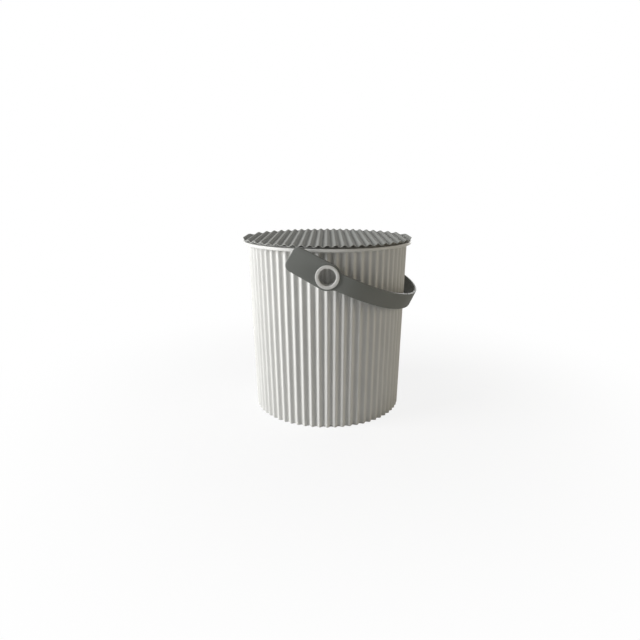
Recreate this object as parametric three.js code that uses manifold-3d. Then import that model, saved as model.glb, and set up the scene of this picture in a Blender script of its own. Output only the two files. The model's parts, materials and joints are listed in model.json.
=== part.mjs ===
// Ribbed bucket with a corrugated lid and a strap handle that swings on two hollow hubs.
// Millimetres, +Z up. The origin is the centre of the underside, on the surface it stands on.
// The hubs lie on the Y axis direction. The handle is lowered towards +X.
import * as THREE from 'three';
import { mergeVertices } from 'three/addons/utils/BufferGeometryUtils.js';
import Module from 'manifold-3d';

// Bucket shell
const bucketHeight = 244.3;
const crestRadiusTop = 113.6;
const crestRadiusBase = 107.4;
const ribCount = 64;
const ribDepth = 3.6;
const wallThickness = 2;
const floorThickness = 2.6;
const stepsPerRib = 6;

// Rim round the mouth: a smooth collar, a flange with a lip turned down, and a bead under the lid
const rimOverhang = 5.8;
const rimLipHeight = 4;
const flangeThickness = 2.2;
const lipThickness = 2;
const rimEdgeRound = 1.1;
const collarDepth = 7;
const beadHeight = 1.2;
const beadWidth = 2.4;

// Underside: a foot ring and a centre pad round a shallow recess
const footRingWidth = 8;
const centrePadRadius = 24;
const recessDepth = 1.2;
const recessDraft = 1;

// Hubs that carry the handle
const pivotDrop = 33.3;
const hubTubeRadius = 12.8;
const hubBoreRadius = 10.8;
const hubShoulderRadius = 15.6;
const hubLipRadius = 15;
const hubLipThickness = 1.8;
const hubEdgeRound = 0.6;

// Lid
const lidOverhang = 0.6;
const lidPitch = 10.6;
const lidWaveDepth = 2.4;
const lidSheet = 1;
const skirtDepth = 8;
const skirtThickness = 1.6;
const stepsPerWave = 6;

// Handle strap
const strapThickness = 3.6;
const strapWidth = 22.6;
const strapEdgeRound = 0.9;
const eyeRadius = 17.5;
const eyeFillet = 12;
const stubLength = 52.4;
const stubCornerRadius = 6;
const stubCrank = 5.8;
const loopSkew = 12;
const droop = 19.7;
const legTwist = 5;

// Clearances
const seatGap = 0.3;
const eyeRunningGap = 0.4;
const strapSideGap = 0.3;
const strapToLidGap = 3.2;
const loopSwingGap = 6.3;
const skirtToMouthGap = 0.8;

// Facets round the bucket's mouth, the lid's edge and a hub, along the strap, on each corner of
// an outline and on each rounded edge
const roundSteps = 96;
const lidSteps = 144;
const hubSteps = 32;
const loopSteps = 40;
const cornerSteps = 5;
const edgeSteps = 2;

// Solids that cut or join another run this far past its face
const overshoot = 1;

const TAU = Math.PI * 2;
const radians = THREE.MathUtils.degToRad;
const wasm = await Module();
wasm.setup();

function toSolid(geometry) {
  const bare = new THREE.BufferGeometry();
  bare.setAttribute('position', geometry.getAttribute('position').clone());
  if (geometry.index) bare.setIndex(geometry.index.clone());
  const merged = mergeVertices(bare, 1e-4);
  const mesh = new wasm.Mesh({
    numProp: 3,
    vertProperties: new Float32Array(merged.getAttribute('position').array),
    triVerts: new Uint32Array(merged.index.array),
  });
  return new wasm.Manifold(mesh);
}

function toGeometry(solid) {
  const mesh = solid.getMesh();
  const geometry = new THREE.BufferGeometry();
  geometry.setAttribute('position', new THREE.BufferAttribute(mesh.vertProperties.slice(), 3));
  geometry.setIndex(new THREE.BufferAttribute(mesh.triVerts.slice(), 1));
  geometry.computeVertexNormals();
  return geometry;
}

// A turned solid about the Z axis from [radius, height] points, counterclockwise in that plane.
function turned(points, segments) {
  const profile = points.map(([r, z]) => new THREE.Vector2(r, z));
  profile.push(profile[0].clone());
  const geometry = new THREE.LatheGeometry(profile, segments);
  geometry.rotateX(Math.PI / 2);
  return toSolid(geometry);
}

// The points [x, y] of an arc about a centre, from one direction to another in degrees.
function arc(cx, cy, radius, from, to, steps) {
  const points = [];
  for (let i = 0; i <= steps; i++) {
    const a = radians(from + (to - from) * i / steps);
    points.push([cx + radius * Math.cos(a), cy + radius * Math.sin(a)]);
  }
  return points;
}

// Height above the table of the surfaces that pieces share
const pivotHeight = bucketHeight - pivotDrop;
const beadTop = bucketHeight + beadHeight;
const lidUnderside = beadTop + seatGap;
const lidValley = lidUnderside + lidSheet;
const lidTop = lidValley + lidWaveDepth;
const floorTop = recessDepth + floorThickness;
const collarUnder = bucketHeight - collarDepth;

// Radii that follow from the shell
const rimRadius = crestRadiusTop + rimOverhang;
const lidRadius = rimRadius + lidOverhang;
const crestRadiusAt = (z) => crestRadiusBase + (crestRadiusTop - crestRadiusBase) * z / bucketHeight;
const mouthRadius = crestRadiusTop - ribDepth - wallThickness;
const skirtRadius = mouthRadius - skirtToMouthGap;

// A fluted, tapered column whose crests have the given radius at each end.
function flutedColumn(zLow, zHigh, inset) {
  const outline = new THREE.Shape();
  const count = ribCount * stepsPerRib;
  const crestLow = crestRadiusAt(zLow) - inset;
  const crestHigh = crestRadiusAt(zHigh) - inset;
  for (let i = 0; i < count; i++) {
    const a = -Math.PI / 2 + TAU * i / count;
    const r = crestLow - ribDepth * (0.5 - 0.5 * Math.cos(TAU * i / stepsPerRib));
    if (i === 0) outline.moveTo(r * Math.cos(a), r * Math.sin(a));
    else outline.lineTo(r * Math.cos(a), r * Math.sin(a));
  }
  const geometry = new THREE.ExtrudeGeometry(outline, { depth: zHigh - zLow, bevelEnabled: false });
  const position = geometry.getAttribute('position');
  for (let i = 0; i < position.count; i++) {
    if (position.getZ(i) < (zHigh - zLow) / 2) continue;
    const r = Math.hypot(position.getX(i), position.getY(i));
    const scale = (r + crestHigh - crestLow) / r;
    position.setXY(i, position.getX(i) * scale, position.getY(i) * scale);
  }
  geometry.translate(0, 0, zLow);
  return toSolid(geometry);
}

function rimRing() {
  const flangeUnder = bucketHeight - flangeThickness;
  const lipUnder = bucketHeight - rimLipHeight;
  const rootRadius = crestRadiusTop - ribDepth - wallThickness / 2;
  const outerRound = arc(rimRadius - rimEdgeRound, bucketHeight - rimEdgeRound, rimEdgeRound, 0, 90, edgeSteps);
  return turned([
    [mouthRadius, collarUnder],
    [rootRadius, collarUnder],
    [rootRadius, flangeUnder],
    [rimRadius - lipThickness, flangeUnder],
    [rimRadius - lipThickness, lipUnder],
    [rimRadius, lipUnder],
    ...outerRound,
    [mouthRadius + beadWidth, bucketHeight],
    [mouthRadius + beadWidth - beadHeight / 2, beadTop],
    [mouthRadius + beadHeight / 2, beadTop],
    [mouthRadius, bucketHeight],
  ], roundSteps);
}

// The two sides of the strap, measured along the hub axis from the middle of the bucket
const strapInner = lidRadius + strapToLidGap;
const strapMiddle = strapInner + strapThickness / 2;
const strapOuter = strapInner + strapThickness;

// One hub along +Z from the wall outwards: a shoulder, the tube the eye turns on, and its lip.
function hub() {
  const shoulderFace = strapInner - strapSideGap;
  const lipInner = strapOuter + strapSideGap;
  const lipOuter = lipInner + hubLipThickness;
  const root = mouthRadius;
  return turned([
    [hubBoreRadius, root],
    [hubShoulderRadius, root],
    [hubShoulderRadius, shoulderFace],
    [hubTubeRadius, shoulderFace],
    [hubTubeRadius, lipInner],
    [hubLipRadius - hubEdgeRound, lipInner],
    [hubLipRadius, lipInner + hubEdgeRound],
    [hubLipRadius, lipOuter - hubEdgeRound],
    [hubLipRadius - hubEdgeRound, lipOuter],
    [hubBoreRadius + hubEdgeRound, lipOuter],
    [hubBoreRadius, lipOuter - hubEdgeRound],
  ], hubSteps);
}

function placedHub(side) {
  const towards = side < 0 ? [90, 0, 0] : [-90, 0, 0];
  return hub().rotate(towards).translate([0, 0, pivotHeight]);
}

function makeBucket() {
  const shell = flutedColumn(0, bucketHeight - flangeThickness / 2, 0);
  const mouthTop = beadTop + overshoot;
  const mouthUnder = collarUnder - overshoot;
  const cavity = flutedColumn(floorTop, collarUnder, wallThickness);
  const mouth = turned([
    [0, mouthUnder],
    [mouthRadius, mouthUnder],
    [mouthRadius, mouthTop],
    [0, mouthTop],
  ], roundSteps);
  const footInner = crestRadiusBase - ribDepth - footRingWidth;
  const recess = turned([
    [centrePadRadius, -overshoot],
    [footInner, -overshoot],
    [footInner - recessDraft, recessDepth],
    [centrePadRadius + recessDraft, recessDepth],
  ], roundSteps / 2);
  let solid = shell.add(rimRing());
  solid = solid.add(placedHub(-1)).add(placedHub(1));
  return solid.subtract(cavity).subtract(mouth).subtract(recess);
}

// Height of the lid's wave above its valleys at a place across the ridges.
const waveAt = (x) => lidWaveDepth * (0.5 + 0.5 * Math.cos(TAU * x / lidPitch));

// A block across the whole lid under a waved face: down to a parallel waved face one sheet
// lower, or down to a flat face at the height given. The waved face can be lowered.
function waveBlock(lowered, flatUnderside) {
  const half = lidRadius + lidPitch;
  const step = lidPitch / stepsPerWave;
  const count = 2 * Math.round(half / step);
  const outline = new THREE.Shape();
  const across = (i) => (i - count / 2) * step;
  const face = (i) => lidValley + waveAt(across(i)) - lowered;
  outline.moveTo(across(0), face(0));
  for (let i = 1; i <= count; i++) outline.lineTo(across(i), face(i));
  if (flatUnderside === undefined) {
    for (let i = count; i >= 0; i--) outline.lineTo(across(i), face(i) - lidSheet);
  } else {
    outline.lineTo(across(count), flatUnderside);
    outline.lineTo(across(0), flatUnderside);
  }
  const geometry = new THREE.ExtrudeGeometry(outline, { depth: 2 * half, bevelEnabled: false });
  geometry.translate(0, 0, -half);
  geometry.rotateX(Math.PI / 2);
  return toSolid(geometry);
}

function makeLid() {
  const skirtUnder = lidUnderside - skirtDepth;
  const over = lidTop + overshoot;
  const skirtInner = skirtRadius - skirtThickness;
  const disc = turned([[0, skirtUnder], [lidRadius, skirtUnder], [lidRadius, over], [0, over]], lidSteps);
  const ring = turned([
    [skirtInner, skirtUnder],
    [skirtRadius - skirtThickness / 2, skirtUnder],
    [skirtRadius, skirtUnder + skirtThickness],
    [skirtRadius, over],
    [skirtInner, over],
  ], roundSteps);
  const sheet = waveBlock(0).intersect(disc);
  const skirt = waveBlock(lidSheet / 2, skirtUnder - overshoot).intersect(ring);
  return sheet.add(skirt);
}

// Where the strap's loop leaves the eye: the end of the fillet between eye and strap
const filletCentre = Math.sqrt((eyeRadius + eyeFillet) ** 2 - (strapWidth / 2 + eyeFillet) ** 2);
const loopStart = filletCentre + overshoot;

// How far the loop's middle lies from the hubs, so that its inner face clears the lid's edge
const lidSweep = Math.hypot(lidRadius, lidTop - pivotHeight);
const loopReach = lidSweep + loopSwingGap + strapThickness / 2;

// Flat outline of one eye with its stub, in the plane of the eye: x runs along the strap.
function eyeOutline() {
  const half = strapWidth / 2;
  const touch = eyeRadius / (eyeRadius + eyeFillet);
  const touchAngle = Math.atan2((half + eyeFillet) * touch, filletCentre * touch) * 180 / Math.PI;
  const turnBy = (point, angle) => {
    const c = Math.cos(radians(angle));
    const s = Math.sin(radians(angle));
    return [point[0] * c - point[1] * s, point[0] * s + point[1] * c];
  };
  const reach = stubLength - stubCornerRadius;
  const side = eyeRadius - stubCornerRadius;
  const stub = [
    ...arc(-reach, side, stubCornerRadius, 90, 180, cornerSteps),
    ...arc(-reach, -side, stubCornerRadius, 180, 270, cornerSteps),
  ].map((point) => turnBy(point, -stubCrank));
  const points = [
    [loopStart, half],
    ...arc(filletCentre, half + eyeFillet, eyeFillet, 270, 180 + touchAngle, cornerSteps),
    ...arc(0, 0, eyeRadius, touchAngle, 90 - stubCrank, cornerSteps).slice(1),
    ...stub,
    ...arc(0, 0, eyeRadius, 270 - stubCrank, 360 - touchAngle, cornerSteps),
    ...arc(filletCentre, -half - eyeFillet, eyeFillet, 180 - touchAngle, 90, cornerSteps).slice(1),
    [loopStart, -half],
  ];
  return new THREE.Shape(points.map(([x, y]) => new THREE.Vector2(x, y)));
}

// One eye plate, flat in X and Z, with the stub rising towards -X and its middle at y = 0.
function eyePlate(angle) {
  const outline = eyeOutline();
  const hole = new THREE.Path();
  hole.absarc(0, 0, hubTubeRadius + eyeRunningGap, 0, TAU, true);
  outline.holes.push(hole);
  const geometry = new THREE.ExtrudeGeometry(outline, {
    depth: strapThickness - 2 * strapEdgeRound,
    curveSegments: hubSteps,
    bevelEnabled: true,
    bevelThickness: strapEdgeRound,
    bevelSize: strapEdgeRound,
    bevelOffset: -strapEdgeRound,
    bevelSegments: edgeSteps,
  });
  geometry.translate(0, 0, -strapThickness / 2 + strapEdgeRound);
  geometry.rotateX(Math.PI / 2);
  geometry.rotateY(radians(angle));
  return toSolid(geometry);
}

// The loop: half of an oval, from one eye round to the other. The middle leans a little towards
// +Y and the leg at -Y droops more than the leg at +Y, as a soft strap hangs on loose hubs.
function strapLoop() {
  const steps = loopSteps;
  const semiReach = loopReach - loopStart;
  const along = (t) => loopStart + semiReach * Math.sin(t);
  const across = (t) => -strapMiddle * Math.cos(t) + loopSkew * Math.sin(t) ** 2;
  const halfT = strapThickness / 2;
  const halfW = strapWidth / 2;
  const r = strapEdgeRound;
  const section = [
    ...arc(halfT - r, halfW - r, r, 0, 90, edgeSteps),
    ...arc(-halfT + r, halfW - r, r, 90, 180, edgeSteps),
    ...arc(-halfT + r, -halfW + r, r, 180, 270, edgeSteps),
    ...arc(halfT - r, -halfW + r, r, 270, 360, edgeSteps),
  ];
  const positions = [];
  const addStation = (u, y, du, dy) => {
    const angle = radians(droop - legTwist * y / strapMiddle);
    const reachDir = [Math.cos(angle), -Math.sin(angle)];
    const widthDir = [Math.sin(angle), Math.cos(angle)];
    const length = Math.hypot(du, dy);
    const normalU = dy / length;
    const normalY = -du / length;
    for (const [n, w] of section) {
      const uu = u + n * normalU;
      positions.push(uu * reachDir[0] + w * widthDir[0], y + n * normalY, uu * reachDir[1] + w * widthDir[1]);
    }
  };
  addStation(along(0) - overshoot, across(0), 1, 0);
  for (let i = 0; i <= steps; i++) {
    const t = Math.PI * i / steps;
    const du = semiReach * Math.cos(t);
    const dy = strapMiddle * Math.sin(t) + loopSkew * Math.sin(2 * t);
    addStation(along(t), across(t), du, dy);
  }
  addStation(along(Math.PI) - overshoot, across(Math.PI), -1, 0);
  const n = section.length;
  const stations = positions.length / 3 / n;
  const index = [];
  for (let s = 0; s + 1 < stations; s++) {
    for (let k = 0; k < n; k++) {
      const a = s * n + k;
      const b = s * n + (k + 1) % n;
      index.push(a, a + n, b, b, a + n, b + n);
    }
  }
  for (let k = 1; k + 1 < n; k++) {
    index.push(0, k, k + 1);
    const last = (stations - 1) * n;
    index.push(last, last + k + 1, last + k);
  }
  const geometry = new THREE.BufferGeometry();
  geometry.setAttribute('position', new THREE.Float32BufferAttribute(positions, 3));
  geometry.setIndex(index);
  return toSolid(geometry);
}

function makeHandle() {
  const near = eyePlate(droop + legTwist).translate([0, -strapMiddle, 0]);
  const far = eyePlate(droop - legTwist).translate([0, strapMiddle, 0]);
  return strapLoop().add(near).add(far);
}

function piece(name, solid, color, roughness) {
  const material = new THREE.MeshStandardMaterial({ color, roughness, metalness: 0 });
  const mesh = new THREE.Mesh(toGeometry(solid), material);
  mesh.name = name;
  return mesh;
}

const bucketWithLid = new THREE.Group();
bucketWithLid.add(piece('bucket', makeBucket(), 0xc9c9c2, 0.45));
bucketWithLid.add(piece('lid', makeLid(), 0x80837f, 0.5));
const handle = piece('handle', makeHandle(), 0x5c605d, 0.5);
handle.position.z = pivotHeight;
bucketWithLid.add(handle);

export default bucketWithLid;
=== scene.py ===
import json
import math

import bpy
from mathutils import Matrix, Vector


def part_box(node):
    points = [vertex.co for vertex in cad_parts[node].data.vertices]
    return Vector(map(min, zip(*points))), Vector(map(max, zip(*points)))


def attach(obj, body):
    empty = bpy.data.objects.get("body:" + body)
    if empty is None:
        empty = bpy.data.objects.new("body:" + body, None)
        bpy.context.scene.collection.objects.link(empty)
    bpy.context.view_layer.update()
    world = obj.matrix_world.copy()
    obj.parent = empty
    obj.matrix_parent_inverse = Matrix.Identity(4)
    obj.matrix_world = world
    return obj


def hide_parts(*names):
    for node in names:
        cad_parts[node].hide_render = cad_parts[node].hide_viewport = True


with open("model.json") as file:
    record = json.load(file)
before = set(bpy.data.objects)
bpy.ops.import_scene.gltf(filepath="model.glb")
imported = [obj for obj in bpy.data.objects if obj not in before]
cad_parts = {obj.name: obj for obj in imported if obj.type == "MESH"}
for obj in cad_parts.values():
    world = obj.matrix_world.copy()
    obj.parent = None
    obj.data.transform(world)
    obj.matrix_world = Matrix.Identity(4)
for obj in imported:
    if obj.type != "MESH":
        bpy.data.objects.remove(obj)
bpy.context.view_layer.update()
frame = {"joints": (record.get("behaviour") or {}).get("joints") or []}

# The bucket: one injection-moulded polyethylene shell in light grey. Its wall stands in upright
# waves that run from the foot to the rim, a smooth collar and a turned-down rim stiffen the
# mouth, and the two hollow hubs that carry the handle are part of the same moulding.
bucket_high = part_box("bucket")[1]
bead_height = 0.0012
rim_top = bucket_high[2] - bead_height
crest_radius_top = 0.1136
crest_radius_base = 0.1074
rib_count = 64
rib_depth = 0.0036
wall = 0.002
rim_radius = bucket_high[0]
rim_lip = 0.004
rim_flange = 0.0022
rim_lip_wall = 0.002
rim_round = 0.0011
collar_depth = 0.007
bead_width = 0.0024
mouth_radius = crest_radius_top - rib_depth - wall
foot_ring = 0.008
foot_round = 0.0008
centre_pad = 0.024
recess = 0.0012
recess_draft = 0.001
floor = 0.0026
floor_round = 0.0022
flange_fillet = 0.0008
soft_edge = 0.0004
rib_points = 12
wall_steps = 8
inner_steps = 6


def crest_radius(z):
    return crest_radius_base + (crest_radius_top - crest_radius_base) * z / rim_top


def quarter(radius, z, bend, start, end, steps):
    """Stations of a rounded edge: its centre is at (radius, z), angles in degrees."""
    turn = [math.radians(start + (end - start) * i / steps) for i in range(steps + 1)]
    return [(radius + bend * math.cos(a), z + bend * math.sin(a)) for a in turn]


def fluted_ring(radius, z, depth):
    """One ring of the wall; its crests have the radius and its valleys lie the depth inside."""
    ring = []
    for i in range(rib_count * rib_points):
        turn = 2 * math.pi * i / (rib_count * rib_points)
        r = radius - depth * (0.5 - 0.5 * math.cos(rib_count * turn))
        ring.append((r * math.sin(turn), -r * math.cos(turn), z))
    return ring


def skin(name, rings, closed=False):
    """A solid through rings of points: open strings of rings end in a pole at each end."""
    verts = []
    starts = []
    for ring in rings:
        starts.append((len(verts), len(ring)))
        verts.extend(ring)
    pairs = list(zip(starts, starts[1:]))
    if closed:
        pairs.append((starts[-1], starts[0]))
    faces = []
    for (a, na), (b, nb) in pairs:
        n = max(na, nb)
        for i in range(n):
            j = (i + 1) % n
            if na == 1:
                faces.append((a, b + j, b + i))
            elif nb == 1:
                faces.append((a + i, a + j, b))
            else:
                faces.append((a + i, a + j, b + j, b + i))
    mesh = bpy.data.meshes.new(name)
    mesh.from_pydata(verts, [], faces)
    mesh.validate()
    piece = bpy.data.objects.new(name, mesh)
    bpy.context.scene.collection.objects.link(piece)
    return piece


def carve(piece, tool, operation):
    """Joins a solid to the piece or cuts it away, and drops the tool."""
    change = piece.modifiers.new("carve", "BOOLEAN")
    change.operation = operation
    change.solver = "EXACT"
    change.object = tool
    bpy.context.view_layer.update()
    evaluated = piece.evaluated_get(bpy.context.evaluated_depsgraph_get())
    mesh = bpy.data.meshes.new_from_object(evaluated)
    piece.modifiers.clear()
    piece.data = mesh
    bpy.data.objects.remove(tool)


def smooth(piece, angle):
    piece.data.shade_smooth()
    piece.data.set_sharp_from_angle(angle=math.radians(angle))


def inner_wall(z_top):
    """Rings of the inside of the wall from a height down to the floor, then to the middle."""
    floor_top = recess + floor
    rings = []
    for i in range(inner_steps + 1):
        z = z_top + (floor_top + floor_round - z_top) * i / inner_steps
        rings.append(fluted_ring(crest_radius(z) - wall, z, rib_depth))
    inner = crest_radius(floor_top) - wall
    for r, z in quarter(inner - floor_round, floor_top + floor_round, floor_round, -20, -90, 3):
        rings.append(fluted_ring(r, z, rib_depth))
    rings.append(fluted_ring(inner - rib_depth - floor_round, floor_top, 0))
    rings.append([(0, 0, floor_top)])
    return rings


def bucket_shell():
    """The wall, foot, rim and bead from the middle of the underside round to the inside."""
    flange_under = rim_top - rim_flange
    lip_under = rim_top - rim_lip
    lip_inner = rim_radius - rim_lip_wall
    foot_inner = crest_radius_base - rib_depth - foot_ring
    soft = soft_edge
    stations = [
        (centre_pad, 0, 0),
        (centre_pad + soft, soft / 2, 0),
        (centre_pad + recess_draft, recess, 0),
        (foot_inner - recess_draft, recess, 0),
        (foot_inner - soft, soft / 2, 0),
        (foot_inner, 0, 0),
    ]
    for r, z in quarter(crest_radius_base - foot_round, foot_round, foot_round, -90, 0, 4):
        stations.append((r, z, rib_depth))
    for i in range(1, wall_steps + 1):
        z = foot_round + (flange_under - flange_fillet - foot_round) * i / wall_steps
        stations.append((crest_radius(z), z, rib_depth))
    stations += [
        (crest_radius(flange_under) + soft / 2, flange_under - soft / 2, rib_depth),
        (crest_radius(flange_under) + flange_fillet, flange_under, rib_depth),
        (lip_inner - soft, flange_under, 0),
        (lip_inner, flange_under - soft, 0),
        (lip_inner, lip_under + soft, 0),
        (lip_inner + soft, lip_under, 0),
    ]
    for r, z in quarter(rim_radius - soft, lip_under + soft, soft, -90, 0, 3):
        stations.append((r, z, 0))
    for r, z in quarter(rim_radius - rim_round, rim_top - rim_round, rim_round, 0, 90, 6):
        stations.append((r, z, 0))
    bead_outer = mouth_radius + bead_width
    stations += [
        (bead_outer, rim_top, 0),
        (bead_outer - bead_height / 2, rim_top + bead_height, 0),
        (mouth_radius + bead_height / 2, rim_top + bead_height, 0),
        (mouth_radius, rim_top, 0),
        (mouth_radius, rim_top - collar_depth + soft, 0),
        (mouth_radius + soft / 2, rim_top - collar_depth, 0),
    ]
    rings = [[(0, 0, 0)]] + [fluted_ring(*station) for station in stations]
    return skin("bucket_shell", rings + inner_wall(rim_top - collar_depth))


# The hubs turn about the Y axis through the pivot, which the frame gives as the hinge's place.
swing = frame["joints"][0]
pivot = Vector(swing["pos_m"])
hub_tube = 0.0128
hub_bore = 0.0108
hub_shoulder = 0.0156
hub_lip = 0.015
hub_lip_wall = 0.0018
hub_round = 0.0006
hub_gap = 0.0003
strap_inner = 0.1232
strap_thickness = 0.0036
hub_points = 96


def turned(name, outline, side):
    """A closed outline of (radius, distance out) points turned about a hub's axis."""
    rings = []
    for r, out in outline:
        turns = [2 * math.pi * i / hub_points for i in range(hub_points)]
        rings.append([
            (pivot.x + side * r * math.cos(a), side * out, pivot.z + r * math.sin(a))
            for a in turns
        ])
    return skin(name, rings, closed=True)


def hub(side):
    """One hub from inside the wall outward: shoulder, tube, holding lip and open bore."""
    shoulder_face = strap_inner - hub_gap
    lip_inner = strap_inner + strap_thickness + hub_gap
    lip_outer = lip_inner + hub_lip_wall
    outline = [(hub_bore, mouth_radius), (hub_shoulder, mouth_radius)]
    outline += quarter(hub_shoulder - hub_round, shoulder_face - hub_round, hub_round, 0, 90, 4)
    outline += [(hub_tube, shoulder_face), (hub_tube, lip_inner)]
    outline += quarter(hub_lip - hub_round, lip_inner + hub_round, hub_round, -90, 0, 4)
    outline += quarter(hub_lip - hub_round, lip_outer - hub_round, hub_round, 0, 90, 4)
    outline += quarter(hub_bore + hub_round, lip_outer - hub_round, hub_round, 90, 180, 4)
    return turned("bucket_hub", outline, side)


def bucket_cavity():
    """The space inside the bucket, which trims the inner end of each hub."""
    collar_under = rim_top - collar_depth
    return skin("bucket_cavity", [[(0, 0, collar_under)]] + inner_wall(collar_under))


bucket = bucket_shell()
bucket.name = "bucket_moulding"
for side in (-1, 1):
    one_hub = hub(side)
    carve(one_hub, bucket_cavity(), "DIFFERENCE")
    carve(bucket, one_hub, "UNION")
smooth(bucket, 32)


plastic_ior = 1.51
mottle_scale = 22
grain_scale = 1400
grain_height = 0.0001
gloss_spread = 0.05


def moulded_plastic(name, colour, roughness, shine, grain, mottle):
    """Satin polyethylene: faint mottling of the colour, uneven gloss and a fine moulded grain."""
    material = bpy.data.materials.new(name)
    material.use_nodes = True
    nodes = material.node_tree.nodes
    links = material.node_tree.links
    shader = nodes["Principled BSDF"]
    shader.inputs["IOR"].default_value = plastic_ior
    shader.inputs["Specular IOR Level"].default_value = shine
    place = nodes.new("ShaderNodeTexCoord")
    cloud = nodes.new("ShaderNodeTexNoise")
    cloud.inputs["Scale"].default_value = mottle_scale
    cloud.inputs["Detail"].default_value = 4
    tint = nodes.new("ShaderNodeValToRGB")
    low = [c * (1 - mottle) for c in colour]
    high = [min(1, c * (1 + mottle)) for c in colour]
    tint.color_ramp.elements[0].position = 0.3
    tint.color_ramp.elements[0].color = (*low, 1)
    tint.color_ramp.elements[1].position = 0.7
    tint.color_ramp.elements[1].color = (*high, 1)
    gloss = nodes.new("ShaderNodeMapRange")
    gloss.inputs["To Min"].default_value = roughness - gloss_spread
    gloss.inputs["To Max"].default_value = roughness + gloss_spread
    fine = nodes.new("ShaderNodeTexNoise")
    fine.inputs["Scale"].default_value = grain_scale
    fine.inputs["Detail"].default_value = 2
    relief = nodes.new("ShaderNodeBump")
    relief.inputs["Strength"].default_value = grain
    relief.inputs["Distance"].default_value = grain_height
    links.new(place.outputs["Object"], cloud.inputs["Vector"])
    links.new(place.outputs["Object"], fine.inputs["Vector"])
    links.new(cloud.outputs["Fac"], tint.inputs["Fac"])
    links.new(cloud.outputs["Fac"], gloss.inputs["Value"])
    links.new(tint.outputs["Color"], shader.inputs["Base Color"])
    links.new(gloss.outputs["Result"], shader.inputs["Roughness"])
    links.new(fine.outputs["Fac"], relief.inputs["Height"])
    links.new(relief.outputs["Normal"], shader.inputs["Normal"])
    return material


light_grey = moulded_plastic(
    "light_grey_polyethylene", (0.6, 0.6, 0.58), roughness=0.45, shine=0.2, grain=0.25, mottle=0.02
)
bucket.data.materials.append(light_grey)
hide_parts("bucket")
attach(bucket, "bucket")

# The lid: one moulded sheet of darker grey polyethylene, in straight waves that run from front to
# back and end open at its round edge. A thin skirt under it drops into the bucket's mouth, and
# the bottoms of the waves rest on the bead round the mouth.
lid_overhang = 0.0006
lid_radius = rim_radius + lid_overhang
lid_pitch = 0.0106
lid_wave = 0.0024
lid_sheet = 0.001
seat_gap = 0.0003
lid_valley = rim_top + bead_height + seat_gap + lid_sheet
lid_top = lid_valley + lid_wave
skirt_depth = 0.008
skirt_wall = 0.0016
skirt_clearance = 0.0008
skirt_radius = mouth_radius - skirt_clearance
skirt_lead = 0.0016
skirt_taper = 0.0006
wave_points = 14
edge_columns = 8
edge_steps = 14
under_steps = 12
cover_rows = 12


def wave_face(x):
    return lid_valley + lid_wave * (0.5 + 0.5 * math.cos(2 * math.pi * x / lid_pitch))


def columns_across():
    """Places across the ridges: even steps along the waves, closer where the edge turns away."""
    step = lid_pitch / wave_points
    count = int(lid_radius / step)
    places = [i * step for i in range(-count, count + 1)]
    for degrees in range(1, edge_columns + 1):
        x = lid_radius * math.cos(math.radians(degrees))
        if x > count * step:
            places += [x, -x]
    return sorted(places)


def lid_mesh():
    """The waved sheet with its rounded edge, and the skirt that hangs from its underside."""
    sines = [x / lid_radius for x in columns_across()]
    loop = [(s, -1) for s in [-1] + sines] + [(s, 1) for s in [1] + sines[::-1]]
    edge = lid_sheet / 2

    def circle(radius):
        return [(radius * s, side * radius * math.sqrt(max(0, 1 - s * s))) for s, side in loop]

    def waved(radius, lift):
        return [(x, y, wave_face(x) + lift) for x, y in circle(radius)]

    rings = []
    for i in range(edge_steps + 1):
        angle = math.radians(90 - 180 * i / edge_steps)
        inset = edge * (1 - math.cos(angle))
        rings.append(waved(lid_radius - inset, edge * math.sin(angle) - edge))
    for i in range(1, under_steps + 1):
        inward = (skirt_radius - lid_radius + edge) * i / under_steps
        rings.append(waved(lid_radius - edge + inward, -lid_sheet))
    skirt_under = rim_top + bead_height + seat_gap - skirt_depth
    skirt_inner = skirt_radius - skirt_wall
    soft = soft_edge
    for r, z in [
        (skirt_radius, skirt_under + skirt_lead),
        (skirt_radius - skirt_taper, skirt_under + soft / 2),
        (skirt_radius - skirt_taper - soft, skirt_under),
        (skirt_inner + soft, skirt_under),
        (skirt_inner, skirt_under + soft),
    ]:
        rings.append([(x, y, z) for x, y in circle(r)])
    rings.append(waved(skirt_inner, -lid_sheet))

    verts = [point for one in rings for point in one]
    n = len(loop)
    faces = []
    for k in range(len(rings) - 1):
        for i in range(n):
            j = (i + 1) % n
            faces.append((k * n + j, k * n + i, (k + 1) * n + i, (k + 1) * n + j))

    def cover(base, radius, lift, upward):
        """Fills a waved disc inside a ring with rows of points that run along the ridges."""
        grid = []
        for i in range(n // 2):
            s = loop[i][0]
            reach = radius * math.sqrt(max(0, 1 - s * s))
            row = [base + i]
            for k in range(1, cover_rows):
                y = -reach + 2 * reach * k / cover_rows
                verts.append((radius * s, y, wave_face(radius * s) + lift))
                row.append(len(verts) - 1)
            row.append(base + n - 1 - i)
            grid.append(row)
        for a, b in zip(grid, grid[1:]):
            for k in range(cover_rows):
                quad = (a[k], b[k], b[k + 1], a[k + 1])
                faces.append(quad if upward else quad[::-1])

    cover(0, lid_radius - edge, 0, True)
    cover((len(rings) - 1) * n, skirt_inner, -lid_sheet, False)
    mesh = bpy.data.meshes.new("lid_moulding")
    mesh.from_pydata(verts, [], faces)
    mesh.validate()
    return mesh


lid = bpy.data.objects.new("lid_moulding", lid_mesh())
bpy.context.scene.collection.objects.link(lid)
smooth(lid, 50)
mid_grey = moulded_plastic(
    "mid_grey_polyethylene", (0.32, 0.325, 0.305), roughness=0.6, shine=0.06, grain=0.25, mottle=0.03
)
lid.data.materials.append(mid_grey)
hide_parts("lid")
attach(lid, "bucket")

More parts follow.
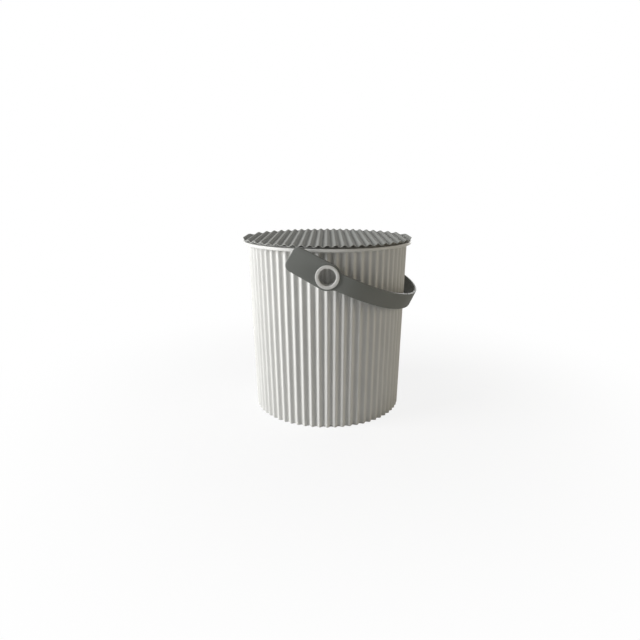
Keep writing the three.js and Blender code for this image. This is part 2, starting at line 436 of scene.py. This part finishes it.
# The handle: one soft strap of dark grey polyethylene with an eye near each end and a short stub
# past each eye. Its eyes are pressed over the lips of the hubs. Lowered, it hangs a little racked,
# with the leg at the front lower than the leg at the back.
strap_width = 0.0226
strap_round = 0.0009
eye_radius = 0.0175
eye_clearance = 0.0004
eye_hole = hub_tube + eye_clearance
eye_fillet = 0.012
stub_length = 0.0524
stub_corner = 0.008
stub_taper = 0.0025
stub_crank = 5.8
droop = 19.7
leg_twist = 5
loop_swing_gap = 0.006
loop_skew = 0.008
loop_point = 1.1
loop_roll = 5
loop_sag = 0.002
loop_overlap = 0.001
loop_steps = 160
strap_middle = strap_inner + strap_thickness / 2
fillet_centre = math.sqrt((eye_radius + eye_fillet) ** 2 - (strap_width / 2 + eye_fillet) ** 2)
loop_start = fillet_centre + loop_overlap
lid_sweep = math.hypot(lid_radius, lid_top - pivot.z)
loop_reach = lid_sweep + loop_swing_gap + strap_thickness / 2


def arc_points(x, y, radius, start, end, steps):
    turns = [math.radians(start + (end - start) * i / steps) for i in range(steps + 1)]
    return [(x + radius * math.cos(a), y + radius * math.sin(a)) for a in turns]


def eye_outline():
    """The eye seen along its hub, with fillets into the strap and a stub bent off its line."""
    half = strap_width / 2
    touch = math.degrees(math.atan2(half + eye_fillet, fillet_centre))
    reach = stub_length - stub_corner
    side = eye_radius - stub_corner
    tip = arc_points(-reach, side - stub_taper, stub_corner, 90, 180, 10)
    tip += arc_points(-reach, -side, stub_corner, 180, 270, 10)
    level = math.cos(math.radians(-stub_crank))
    rise = math.sin(math.radians(-stub_crank))
    tip = [(x * level - y * rise, x * rise + y * level) for x, y in tip]
    points = [(loop_start, half)]
    points += arc_points(fillet_centre, half + eye_fillet, eye_fillet, 270, 180 + touch, 10)
    points += arc_points(0, 0, eye_radius, touch, 90 - stub_crank, 12)[1:]
    points += tip
    points += arc_points(0, 0, eye_radius, 270 - stub_crank, 360 - touch, 12)
    points += arc_points(fillet_centre, -half - eye_fillet, eye_fillet, 180 - touch, 90, 10)[1:]
    points.append((loop_start, -half))
    return points


def eye_plate(side, angle):
    """A flat plate with rounded edges: its outline and its hole drawn as a filled curve."""
    curve = bpy.data.curves.new("handle_eye", "CURVE")
    curve.dimensions = "2D"
    curve.fill_mode = "BOTH"
    hole = arc_points(0, 0, eye_hole, 0, 360, 96)[:-1]
    for points in (eye_outline(), hole):
        spline = curve.splines.new("POLY")
        spline.points.add(len(points) - 1)
        for point, (x, y) in zip(spline.points, points):
            point.co = (x, y, 0, 1)
        spline.use_cyclic_u = True
    curve.offset = -strap_round
    curve.extrude = strap_thickness / 2 - strap_round
    curve.bevel_depth = strap_round
    curve.bevel_resolution = 3
    drawn = bpy.data.objects.new("handle_eye", curve)
    bpy.context.scene.collection.objects.link(drawn)
    bpy.context.view_layer.update()
    evaluated = drawn.evaluated_get(bpy.context.evaluated_depsgraph_get())
    mesh = bpy.data.meshes.new_from_object(evaluated)
    bpy.data.objects.remove(drawn)
    upright = Matrix.Rotation(math.radians(90), 4, "X")
    lean = Matrix.Rotation(math.radians(angle), 4, "Y")
    place = Matrix.Translation((pivot.x, side * strap_middle, pivot.z))
    mesh.transform(place @ lean @ upright)
    plate = bpy.data.objects.new("handle_eye", mesh)
    bpy.context.scene.collection.objects.link(plate)
    return plate


def strap_loop():
    """The strap from eye to eye: a rounded section led round a loop that leans, rolls and sags."""
    semi_reach = loop_reach - loop_start
    half_t = strap_thickness / 2
    half_w = strap_width / 2
    r = strap_round
    section = arc_points(half_t - r, half_w - r, r, 0, 90, 4)
    section += [(0, half_w)]
    section += arc_points(-half_t + r, half_w - r, r, 90, 180, 4)
    section += [(-half_t, half_w * k / 3) for k in (2, 1, 0, -1, -2)]
    section += arc_points(-half_t + r, -half_w + r, r, 180, 270, 4)
    section += [(0, -half_w)]
    section += arc_points(half_t - r, -half_w + r, r, 270, 360, 4)
    section += [(half_t, half_w * k / 3) for k in (-2, -1, 0, 1, 2)]

    route = [(fillet_centre, -strap_middle)]
    for i in range(loop_steps + 1):
        t = math.pi * i / loop_steps
        u = loop_start + semi_reach * math.sin(t) ** loop_point
        y = -strap_middle * math.cos(t) + loop_skew * math.sin(t) ** 2
        route.append((u, y))
    route.append((fillet_centre, strap_middle))

    def station(i):
        u, y = route[i]
        angle = math.radians(droop - leg_twist * y / strap_middle)
        share = ((u - loop_start) / semi_reach) ** 2
        roll = math.radians(loop_roll) * share
        back = route[max(i - 1, 0)]
        ahead = route[min(i + 1, len(route) - 1)]
        length = math.dist(back, ahead)
        normal_u = (ahead[1] - back[1]) / length
        normal_y = (back[0] - ahead[0]) / length
        ring = []
        for n, w in section:
            outward = n * math.cos(roll) + w * math.sin(roll)
            upward = w * math.cos(roll) - n * math.sin(roll) - loop_sag * share
            out = u + outward * normal_u
            x = out * math.cos(angle) + upward * math.sin(angle)
            z = -out * math.sin(angle) + upward * math.cos(angle)
            ring.append((pivot.x + x, y + outward * normal_y, pivot.z + z))
        return ring

    rings = [station(i) for i in range(len(route))]
    first = [tuple(sum(axis) / len(rings[0]) for axis in zip(*rings[0]))]
    last = [tuple(sum(axis) / len(rings[-1]) for axis in zip(*rings[-1]))]
    return skin("handle_strap", [first] + rings + [last])


handle = strap_loop()
handle.name = "handle_moulding"
carve(handle, eye_plate(-1, droop + leg_twist), "UNION")
carve(handle, eye_plate(1, droop - leg_twist), "UNION")
smooth(handle, 35)
dark_grey = moulded_plastic(
    "dark_grey_polyethylene", (0.18, 0.188, 0.177), roughness=0.5, shine=0.12, grain=0.3, mottle=0.03
)
handle.data.materials.append(dark_grey)
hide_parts("handle")
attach(handle, "handle")

# The photographer's table: a plain pale floor. The camera sees it nearly white at the bucket, so
# that the soft shadow stays, and fully white further out.
floor_size = 6
shadow_start = 0.12
shadow_end = 0.6
shadow_white = 0.85
floor_mesh = bpy.data.meshes.new("floor")
corner = floor_size / 2
floor_mesh.from_pydata(
    [(-corner, -corner, 0), (corner, -corner, 0), (corner, corner, 0), (-corner, corner, 0)],
    [],
    [(0, 1, 2, 3)],
)
table = bpy.data.objects.new("floor", floor_mesh)
bpy.context.scene.collection.objects.link(table)
pale = bpy.data.materials.new("pale_floor")
pale.use_nodes = True
pale_nodes = pale.node_tree.nodes
pale_links = pale.node_tree.links
pale_shader = pale_nodes["Principled BSDF"]
pale_shader.inputs["Base Color"].default_value = (0.8, 0.8, 0.8, 1)
pale_shader.inputs["Roughness"].default_value = 0.9
white = pale_nodes.new("ShaderNodeEmission")
white.inputs["Strength"].default_value = 1
seen = pale_nodes.new("ShaderNodeLightPath")
share = pale_nodes.new("ShaderNodeMath")
share.operation = "MULTIPLY"
ground = pale_nodes.new("ShaderNodeTexCoord")
away = pale_nodes.new("ShaderNodeVectorMath")
away.operation = "LENGTH"
fade = pale_nodes.new("ShaderNodeMapRange")
fade.interpolation_type = "SMOOTHSTEP"
fade.inputs["From Min"].default_value = shadow_start
fade.inputs["From Max"].default_value = shadow_end
fade.inputs["To Min"].default_value = shadow_white
fade.inputs["To Max"].default_value = 1
pale_links.new(ground.outputs["Object"], away.inputs[0])
pale_links.new(away.outputs["Value"], fade.inputs["Value"])
pale_links.new(fade.outputs["Result"], share.inputs[1])
blend = pale_nodes.new("ShaderNodeMixShader")
pale_links.new(seen.outputs["Is Camera Ray"], share.inputs[0])
pale_links.new(share.outputs[0], blend.inputs[0])
pale_links.new(pale_shader.outputs[0], blend.inputs[1])
pale_links.new(white.outputs[0], blend.inputs[2])
pale_links.new(blend.outputs[0], pale_nodes["Material Output"].inputs["Surface"])
floor_mesh.materials.append(pale)

# Studio light: a large soft lamp from the left and above, weak ones from the right and from behind,
# and a dim even surround. The surround is white to the camera, in reflections and through clear
# material.
surround = 0.14
world = bpy.data.worlds.new("surround")
bpy.context.scene.world = world
world.use_nodes = True
air = world.node_tree.nodes
air_links = world.node_tree.links
sky = air["Background"]
sky_path = air.new("ShaderNodeLightPath")
sky_seen = air.new("ShaderNodeMath")
sky_seen.operation = "MAXIMUM"
sky_clear = air.new("ShaderNodeMath")
sky_clear.operation = "MAXIMUM"
sky_strength = air.new("ShaderNodeMapRange")
sky_strength.inputs["To Min"].default_value = surround
sky_strength.inputs["To Max"].default_value = 1
sky.inputs["Color"].default_value = (1, 1, 1, 1)
air_links.new(sky_path.outputs["Is Camera Ray"], sky_seen.inputs[0])
air_links.new(sky_path.outputs["Is Glossy Ray"], sky_seen.inputs[1])
air_links.new(sky_seen.outputs[0], sky_clear.inputs[0])
air_links.new(sky_path.outputs["Is Transmission Ray"], sky_clear.inputs[1])
air_links.new(sky_clear.outputs[0], sky_strength.inputs["Value"])
air_links.new(sky_strength.outputs["Result"], sky.inputs["Strength"])


def soft_lamp(name, place, aim, size, power, colour):
    light = bpy.data.lights.new(name, "AREA")
    light.shape = "SQUARE"
    light.size = size
    light.energy = power
    light.color = colour
    lamp = bpy.data.objects.new(name, light)
    bpy.context.scene.collection.objects.link(lamp)
    lamp.location = place
    lamp.rotation_mode = "QUATERNION"
    lamp.rotation_quaternion = (Vector(aim) - Vector(place)).to_track_quat("-Z", "Y")


middle = (0, 0, 0.13)
soft_lamp("key", (-1.5, -0.44, 0.62), middle, 0.9, 35, (1, 1, 1))
soft_lamp("fill", (1.5, -0.5, 0.5), middle, 0.8, 5, (1, 0.88, 0.66))
soft_lamp("back", (0.8, 1.5, 0.35), middle, 0.6, 6, (1, 1, 1))

# The camera: close in front of the bucket and looking down on it, with the picture moved a few
# pixels sideways, as the photo is framed.
camera_distance = 0.7478
camera_rise = 0.0776
camera_tilt = 14.86
picture_width = 640
aside_pixels = 7.27
camera_data = bpy.data.cameras.new("camera")
camera_data.sensor_width = 36
camera_data.lens = 28.99
camera_data.shift_x = -aside_pixels / picture_width
camera_data.clip_start = 0.05
camera_data.clip_end = 50
camera = bpy.data.objects.new("camera", camera_data)
bpy.context.scene.collection.objects.link(camera)
camera.location = (0, -camera_distance, rim_top + camera_rise)
camera.rotation_euler = (math.radians(90 - camera_tilt), 0, 0)
bpy.context.scene.camera = camera
bpy.context.scene.view_settings.view_transform = "Standard"
